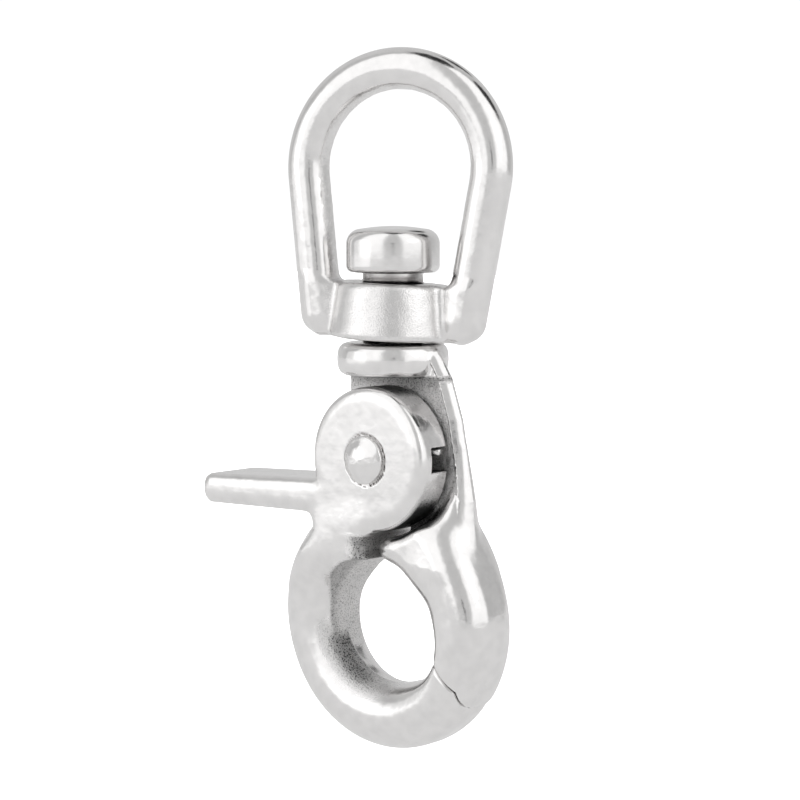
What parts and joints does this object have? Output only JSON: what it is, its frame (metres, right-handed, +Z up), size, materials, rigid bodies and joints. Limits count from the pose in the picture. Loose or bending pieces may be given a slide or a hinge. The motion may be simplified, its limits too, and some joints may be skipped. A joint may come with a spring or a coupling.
{
  "type": "snap shackle",
  "caption": "Sprung trigger snap hook with a thumb lever and a closed swivel eye, cast and polished in stainless steel.",
  "frame": {"origin": "on the swivel axis, in the eye's opening, at the height of the centre of the eye's crown", "axes": "+Z up along the swivel axis towards the eye; +X away from the thumb lever, in the flat plane of the hook; -Y towards the face that is seen"},
  "size_m": [0.0454, 0.0163, 0.0896],
  "materials": {
    "eye_steel": "tumbled and polished casting",
    "stud_steel": "polished",
    "body_steel": "polished casting, rough in its pockets",
    "trigger_steel": "polished casting with ground flat faces",
    "pin_steel": "hammered rivet heads, polished",
    "spring_wire": "drawn wire"
  },
  "bodies": {
    "eye": {"swivel_eye": "eye_steel"},
    "hook": {"hook_body": "body_steel", "swivel_stud": "stud_steel"},
    "trigger": {"trigger": "trigger_steel", "pivot_pin": "pin_steel", "torsion_spring": "spring_wire"}
  },
  "joints": [
    {"name": "swivel", "type": "hinge", "parent": "eye", "child": "hook", "pos_m": [0, 0, -0.02], "axis": [0, 0, 1], "continuous": true},
    {"name": "trigger_pivot", "type": "hinge", "parent": "hook", "child": "trigger", "pos_m": [0.0012, 0, -0.03667], "axis": [0, 1, 0], "range_deg": [0, 38], "stiffness_Nm_per_rad": 0.08, "springref_deg": -34.38, "deforming": ["torsion_spring"]}
  ]
}
